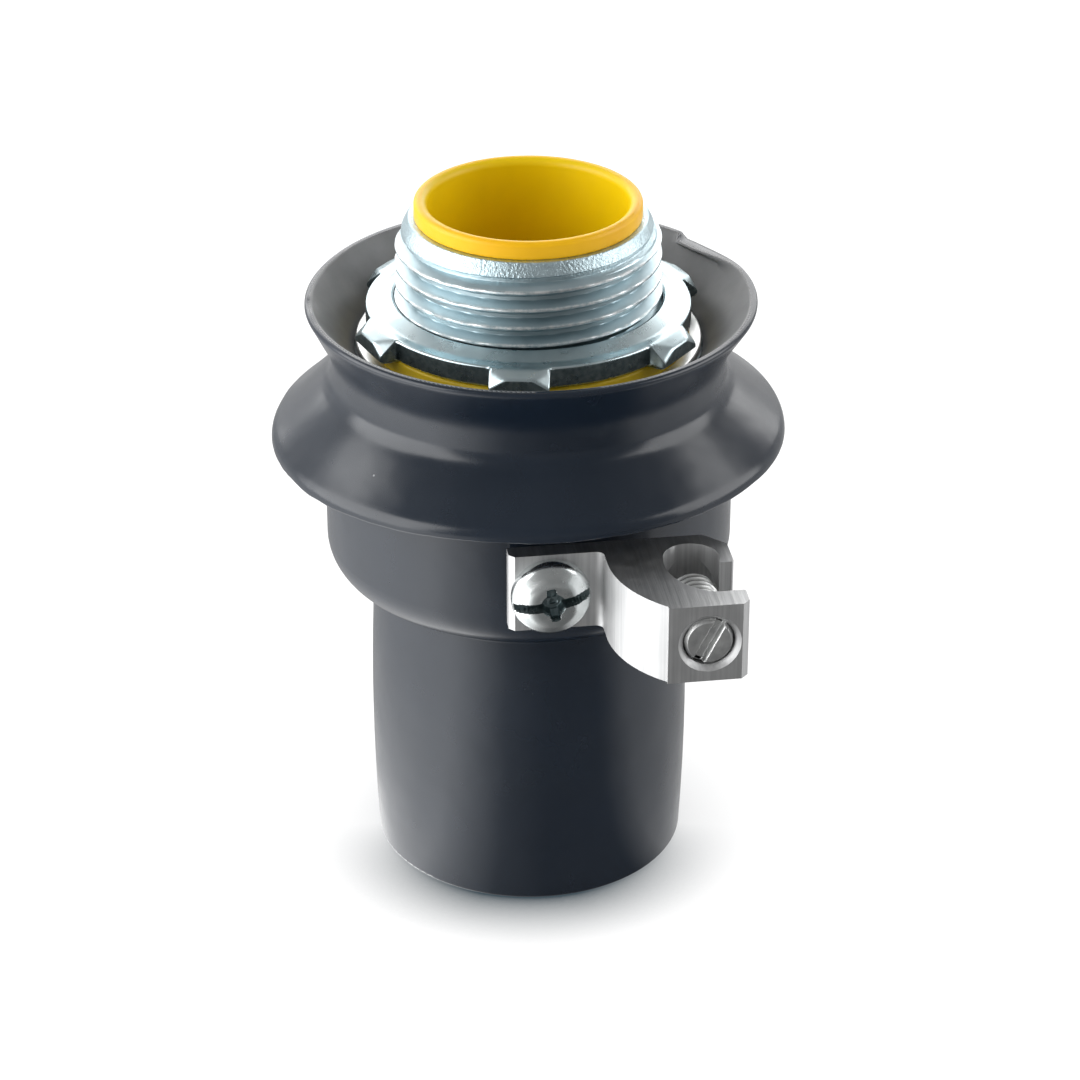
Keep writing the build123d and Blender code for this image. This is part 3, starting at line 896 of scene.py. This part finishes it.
def aluminium_material():
    """Extruded aluminium: die lines along the height, saw marks on the two cut faces."""
    s = Shader("lug_aluminium")
    tilt = s.math("ABSOLUTE", s.axis("Z", s.true_normal()))
    cut_face = s.math("GREATER_THAN", tilt, 0.8)
    die_lines = s.noise(1.0, 3.0, s.stretched(3.0, 3.0, 0.05))
    saw_marks = s.noise(1.0, 4.0, s.stretched(3.0, 0.10, 1.0))
    height = s.node("ShaderNodeMix", data_type="FLOAT")
    s.link(cut_face, height.inputs[0])
    s.link(die_lines, height.inputs[2])
    s.link(saw_marks, height.inputs[3])
    lines = height.outputs[0]
    colour = s.shades(lines, [(0.3, LUG_COLOURS[0]), (0.7, LUG_COLOURS[1])])
    rough = s.uneven(0.5, (0.52, 0.60))
    rough = s.math("SUBTRACT", rough, s.math("MULTIPLY", cut_face, 0.14))
    depth = s.math("MULTIPLY", lines, s.spread(cut_face, 0.0, 1.0, 0.3, 1.0))
    s.bump(depth, 0.5, 0.05)
    return s.finish(colour, rough, metallic=1.0)


def screw_material(name, centre, colours, rings, rough, grain, root_r=None):
    """Screw steel with turning marks about the screw's own axis, and painted shade in a thread's
    root.
    """
    s = Shader(name)
    colour = s.clouds(0.8, colours)
    around = s.ring_place(centre, "Y")
    if root_r is not None:
        # Painted shade: the thread's root, behind the face, is painted dark
        low = s.spread(s.axis("X", around), root_r, root_r + 0.25, 1.0, 0.0)
        behind = s.spread(s.axis("Y", around), 0.95, 1.1, 0.0, 1.0)
        colour = s.mix(s.math("MULTIPLY", low, behind), colour, SCREW_ROOT_SHADE)
    roughness = s.uneven(1.4, rough)
    s.bump(s.noise(2.6, 3.0, around), rings, 0.04)
    s.bump(s.noise(1.3, 3.0), grain, 0.04)
    return s.finish(colour, roughness, metallic=1.0)


COAT = coat_material()
BODY = zinc_material("body_zinc", BODY_COLOURS, (0.32, 0.42), threaded=True)
NUT = zinc_material("locknut_zinc", NUT_COLOURS, (0.24, 0.36), turned=0.05, shaded_walls=True)
RETAINER = zinc_material("retainer_steel", RETAINER_COLOURS, (0.30, 0.40))
GLAND = zinc_material("gland_steel", GLAND_COLOURS, (0.28, 0.38))
FERRULE = zinc_material("ferrule_steel", FERRULE_COLOURS, (0.25, 0.35))
PAN = screw_material(
    "screw_zinc", PAN_CENTRE, PAN_COLOURS, rings=0.06, rough=(0.21, 0.28), grain=0.10)
RECESS = screw_material(
    "recess_painted_shade", PAN_CENTRE, DEEP_FACE_SHADE, rings=0.3, rough=(0.30, 0.42), grain=0.3)
SET = screw_material(
    "set_screw_steel", SET_CENTRE, SET_COLOURS, rings=1.0, rough=(0.38, 0.5), grain=0.7,
    root_r=SET_R - 0.35)

finishes = {
    "insulated_throat": throat_material(),
    "sealing_ring": soft_material(
        "seal_yellow", SEAL_COLOURS, 0.3, 0.25, (1.2, (0.45, 0.6))),
    "seal_retainer": RETAINER,
    "gland_nut": GLAND,
    "gland_nut_coat": COAT,
    "compression_ring": soft_material(
        "ring_nylon", NYLON_COLOURS, 0.4, 0.2, (0.8, (0.38, 0.46), 3.0)),
    "ferrule": FERRULE,
}
for node_name, finish in finishes.items():
    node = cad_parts[node_name]
    node.data.materials.clear()
    node.data.materials.append(finish)

stand_in(make_body(), "connector_body", "connector", BODY)
stand_in(make_coat(), "body_coat", "connector", COAT)
stand_in(make_nut(), "locknut", "locknut", NUT)
pan_head, recess_faces = make_pan()
stand_in(pan_head, "lug_screw", "gland", PAN)
# The deep faces of the slot and recess get the dark colour: painted shade
pan_head.data.materials.append(RECESS)
for face in recess_faces:
    pan_head.data.polygons[face].material_index = 1
stand_in(make_set(), "set_screw", "set_screw", SET)
stand_in(make_lug(), "ground_lug", "gland", aluminium_material())


# Floor, backdrop and light

camera_turn = Matrix.Rotation(math.radians(CAMERA_TURN), 3, "Z")
right_side = camera_turn @ Vector((1.0, 0.0, 0.0))
camera_side = camera_turn @ Vector((0.0, -1.0, 0.0))
# The room is darkest over the camera's right shoulder
dark_side = camera_turn @ Vector((0.44, -0.63, 0.64))

# What gloss sees: floor by degrees round from the camera (left is negative), room by the
# cosine to its dark side
FLOOR_LEVELS = [
    (-180, 0.8), (-140, 0.6), (-110, 1.2), (-80, 2.1), (-50, 2.6), (-33, 1.6), (-14, 0.45),
    (8, 0.18), (46, 0.15), (66, 0.85), (100, 0.8), (130, 0.6), (180, 0.8),
]
WORLD_LEVELS = [(-1.0, 1.0), (-0.3, 0.9), (0.1, 0.5), (0.5, 0.35), (0.8, 0.28), (1.0, 0.22)]
PEAK = max(level for _, level in FLOOR_LEVELS)

FLOOR_HALF = 600
FLOOR_WHITE = (0.93, 0.93, 0.93)
FLOOR_SEEN = 0.26       # share of the floor's look to the camera that comes from the lamps
FLOOR_GLOW = 0.86       # strength of the white that makes up the rest
SHADOW_REACH = 10
SHADOW_COLOUR = (0.0, 0.03, 0.05)


def grey_ramp(tree, value, span, stops):
    """Grey level, as a share of the peak, from a value between -span and span."""
    shift = tree.nodes.new("ShaderNodeMapRange")
    shift.inputs[1].default_value = -span
    shift.inputs[2].default_value = span
    ramp = tree.nodes.new("ShaderNodeValToRGB")
    while len(ramp.color_ramp.elements) < len(stops):
        ramp.color_ramp.elements.new(0.5)
    for element, (position, level) in zip(ramp.color_ramp.elements, stops):
        element.position = (position / stops[-1][0] + 1) / 2
        element.color = (level / PEAK, level / PEAK, level / PEAK, 1)
    tree.links.new(value, shift.inputs[0])
    tree.links.new(shift.outputs[0], ramp.inputs[0])
    return ramp.outputs[0]


def floor_material():
    """Pale floor: white to the camera but for its shadow, a bright and dark room in gloss."""
    s = Shader("floor")
    paths = s.node("ShaderNodeLightPath")
    sky = s.node("ShaderNodeAmbientOcclusion", samples=16)
    sky.inputs["Distance"].default_value = SHADOW_REACH * MM
    ahead = s.node("ShaderNodeVectorMath", operation="NORMALIZE")
    s.link(s.place, ahead.inputs[0])
    # The shadow is full in front of the object and fades towards the back
    strength = s.spread(s.dot(ahead.outputs[0], camera_side), 0.1, 0.95, 0.2, 1.0)
    hidden = s.math("SUBTRACT", 1.0, s.spread(sky.outputs["AO"], 0.5, 1.0, 0.06, 1.0))
    shade = s.math("SUBTRACT", 1.0, s.math("MULTIPLY", hidden, strength))
    camera_ray = paths.outputs["Is Camera Ray"]
    colour = s.mix(camera_ray, FLOOR_WHITE, s.math("MULTIPLY", shade, FLOOR_SEEN))
    s.finish(colour, 0.9, Specular_IOR_Level=0.1)
    white = s.node("ShaderNodeEmission")
    white_colour = s.shades(shade, [(0.0, SHADOW_COLOUR), (1.0, (1.0, 1.0, 1.0))])
    s.link(white_colour, white.inputs["Color"])
    s.link(s.math("MULTIPLY", camera_ray, FLOOR_GLOW), white.inputs["Strength"])
    lit = s.node("ShaderNodeAddShader")
    s.link(s.surface.outputs[0], lit.inputs[0])
    s.link(white.outputs[0], lit.inputs[1])
    azimuth = s.math("ARCTAN2", s.dot(s.place, right_side), s.dot(s.place, camera_side))
    glow = s.node("ShaderNodeEmission")
    s.link(grey_ramp(s.tree, azimuth, math.pi, FLOOR_LEVELS), glow.inputs["Color"])
    glow.inputs["Strength"].default_value = PEAK
    in_gloss = s.math(
        "MAXIMUM", paths.outputs["Is Glossy Ray"], paths.outputs["Is Transmission Ray"])
    swap = s.node("ShaderNodeMixShader")
    s.link(in_gloss, swap.inputs[0])
    s.link(lit.outputs[0], swap.inputs[1])
    s.link(glow.outputs[0], swap.inputs[2])
    s.link(swap.outputs[0], s.tree.nodes["Material Output"].inputs["Surface"])
    return s.material


floor = new_object("floor", [
    (-FLOOR_HALF, -FLOOR_HALF, 0),
    (FLOOR_HALF, -FLOOR_HALF, 0),
    (FLOOR_HALF, FLOOR_HALF, 0),
    (-FLOOR_HALF, FLOOR_HALF, 0),
], [(0, 1, 2, 3)])
floor.data.materials.append(floor_material())
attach(floor, "gland")


def lamp(name, place, aim, size, radiance):
    """Soft rectangular lamp; places are given in millimetres as seen from the camera."""
    data = bpy.data.lights.new(name, "AREA")
    data.shape = "RECTANGLE"
    data.size = size[0] * MM
    data.size_y = size[1] * MM
    data.energy = radiance * math.pi * data.size * data.size_y
    made = bpy.data.objects.new(name, data)
    bpy.context.scene.collection.objects.link(made)
    start = camera_turn @ Vector(place) * MM
    end = camera_turn @ Vector(aim) * MM
    made.location = start
    made.rotation_euler = (end - start).to_track_quat("-Z", "Y").to_euler()


lamp("back_box", (0, 400, 230), (0, 0, 60), (760, 240), 2.2)
lamp("left_box", (-330, -90, 170), (0, 0, 45), (460, 330), 3.7)
lamp("right_box", (350, 0, 190), (0, 0, 45), (320, 300), 2.8)

world = bpy.data.worlds.new("studio")
bpy.context.scene.world = world
world.use_nodes = True
tree = world.node_tree
background = tree.nodes["Background"]
direction = tree.nodes.new("ShaderNodeTexCoord").outputs["Generated"]
toward = tree.nodes.new("ShaderNodeVectorMath")
toward.operation = "DOT_PRODUCT"
toward.inputs[1].default_value = dark_side
tree.links.new(direction, toward.inputs[0])
room_level = grey_ramp(tree, toward.outputs["Value"], 1.0, WORLD_LEVELS)
paths = tree.nodes.new("ShaderNodeLightPath")
# White to the camera, the room's levels to everything else
seen = tree.nodes.new("ShaderNodeMix")
seen.data_type = "RGBA"
seen.inputs[7].default_value = (1 / PEAK, 1 / PEAK, 1 / PEAK, 1)
tree.links.new(paths.outputs["Is Camera Ray"], seen.inputs[0])
tree.links.new(room_level, seen.inputs[6])
tree.links.new(seen.outputs[2], background.inputs["Color"])
background.inputs["Strength"].default_value = PEAK

camera_data = bpy.data.cameras.new("camera")
camera_data.sensor_width = SENSOR_MM
camera_data.lens = FOCAL_PX / PHOTO_SIZE * SENSOR_MM
camera = bpy.data.objects.new("camera", camera_data)
bpy.context.scene.collection.objects.link(camera)
camera.location = camera_turn @ Vector(CAMERA_MM) * MM
sight = camera_turn @ (Vector(TARGET_MM) - Vector(CAMERA_MM))
camera.rotation_euler = sight.to_track_quat("-Z", "Y").to_euler()
bpy.context.scene.camera = camera
bpy.context.scene.view_settings.view_transform = "Standard"
